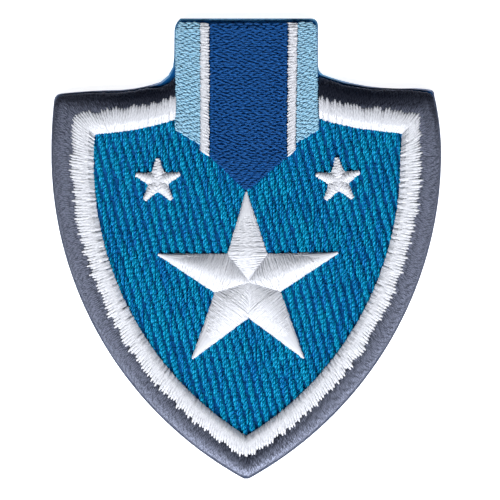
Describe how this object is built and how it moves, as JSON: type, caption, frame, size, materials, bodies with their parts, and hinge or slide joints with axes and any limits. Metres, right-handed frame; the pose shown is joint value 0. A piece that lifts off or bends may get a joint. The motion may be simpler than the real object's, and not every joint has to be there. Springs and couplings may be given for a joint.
{
  "type": "embroidered shield patch",
  "caption": "Flat embroidered shield-shaped badge with satin borders, stars and a short striped ribbon tab at the top.",
  "frame": {"origin": "centre of the patch's outline on its flat back face", "axes": "+X across the shield, to the right when the stitched face is looked at with the ribbon tab up, +Y up the shield towards the ribbon tab, +Z out of the stitched face"},
  "size_m": [0.0486, 0.0574, 0.0019],
  "materials": {
    "twill_cloth": "matt blue cotton twill with raised slanting ribs and a dark heat-cut edge",
    "grey_thread": "lustrous charcoal grey satin stitch",
    "white_thread": "lustrous white satin stitch",
    "pale_blue_thread": "lustrous pale blue fill stitch",
    "royal_thread": "lustrous royal blue fill stitch"
  },
  "bodies": {
    "root": {"ground_cloth": "twill_cloth", "outer_border": "grey_thread", "inner_border": "white_thread", "ribbon_side_left": "pale_blue_thread", "ribbon_line_left": "white_thread", "ribbon_centre": "royal_thread", "ribbon_line_right": "white_thread", "ribbon_side_right": "pale_blue_thread", "star_arm_1": "white_thread", "star_arm_2": "white_thread", "star_arm_3": "white_thread", "star_arm_4": "white_thread", "star_arm_5": "white_thread", "small_star_left": "white_thread", "small_star_right": "white_thread"}
  },
  "joints": []
}
